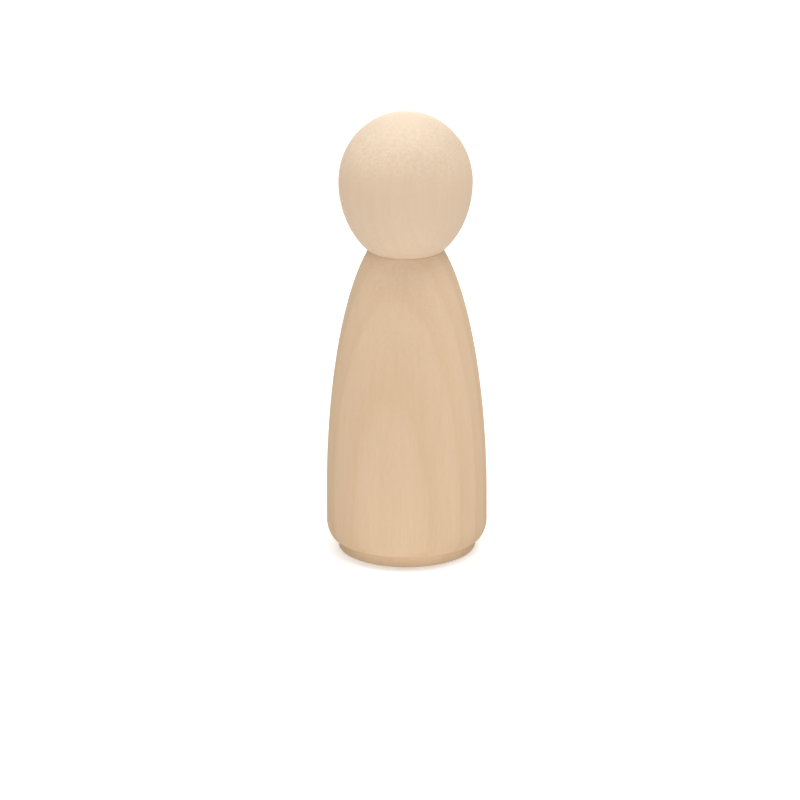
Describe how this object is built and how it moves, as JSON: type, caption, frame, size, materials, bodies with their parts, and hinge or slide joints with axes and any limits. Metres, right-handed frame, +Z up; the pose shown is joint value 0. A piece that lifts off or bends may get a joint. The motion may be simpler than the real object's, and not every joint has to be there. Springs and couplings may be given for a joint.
{
  "type": "wooden doll",
  "caption": "Plain turned wooden doll with an egg-shaped head pinned on a bell-shaped body with a stepped foot, free-standing, unpainted.",
  "frame": {"origin": "centre of the flat underside of the foot", "axes": "+Z up along the turning axis, from the foot to the crown; the doll is round, so +X and +Y are free, and the picture looks along +Y"},
  "size_m": [0.0234, 0.0234, 0.065],
  "materials": {
    "head_wood": "sanded, bare, matt",
    "body_wood": "sanded, bare, matt",
    "dowel_wood": "rough, bare, fluted"
  },
  "bodies": {
    "root": {"head": "head_wood", "body": "body_wood", "neck_dowel": "dowel_wood"}
  },
  "joints": []
}
